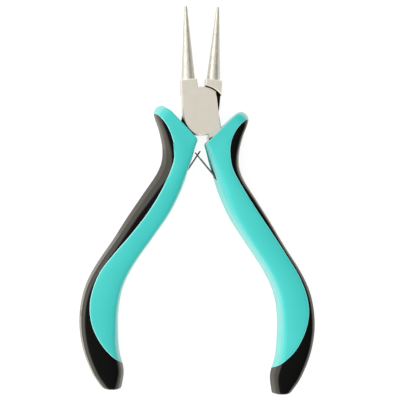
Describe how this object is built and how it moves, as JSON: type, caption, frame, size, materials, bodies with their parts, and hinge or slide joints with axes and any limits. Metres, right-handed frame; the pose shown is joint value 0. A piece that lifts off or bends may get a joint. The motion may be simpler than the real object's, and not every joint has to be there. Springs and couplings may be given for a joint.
{
  "type": "round nose pliers",
  "caption": "Small hand pliers with round tapered jaws, a flush riveted lap joint, crossed leaf springs and curved two-tone comfort grips.",
  "frame": {"origin": "on the pivot axis, in the flat back face of the joint", "axes": "+Y towards the jaw tips, +Z along the pivot axis out of the front face, +X to the right seen from the front"},
  "size_m": [0.0791, 0.129, 0.01],
  "materials": {
    "forged_steel": "satin ground, plated",
    "rivet_steel": "ground flush",
    "spring_steel": "blued strip",
    "hard_grip": "satin moulded",
    "soft_grip": "matt moulded"
  },
  "bodies": {
    "front_lever": {"front_half": "forged_steel", "pivot_rivet": "rivet_steel", "right_grip_body": "hard_grip", "right_grip_spine": "soft_grip"},
    "back_lever": {"back_half": "forged_steel", "left_grip_body": "hard_grip", "left_grip_spine": "soft_grip"},
    "right_leaf": {"right_leaf_spring": "spring_steel"},
    "left_leaf": {"left_leaf_spring": "spring_steel"}
  },
  "joints": [
    {"name": "handle_pivot", "type": "hinge", "parent": "front_lever", "child": "back_lever", "pos_m": [0, 0, 0.0035], "axis": [0, 0, 1], "range_deg": [-3, 15.6], "stiffness_Nm_per_rad": 0.8},
    {"name": "right_leaf_flex", "type": "hinge", "parent": "front_lever", "child": "right_leaf", "pos_m": [0.00653, -0.02333, 0.0035], "axis": [0, 0, 1], "range_deg": [-15.7, 3.1]},
    {"name": "left_leaf_flex", "type": "hinge", "parent": "back_lever", "child": "left_leaf", "pos_m": [-0.00653, -0.02333, 0.0035], "axis": [0, 0, 1], "range_deg": [-1.6, 7.8]}
  ],
  "couplings": [
    {"joint": "right_leaf_flex", "follows": "handle_pivot", "ratio": -1},
    {"joint": "left_leaf_flex", "follows": "handle_pivot", "ratio": 0.49}
  ]
}
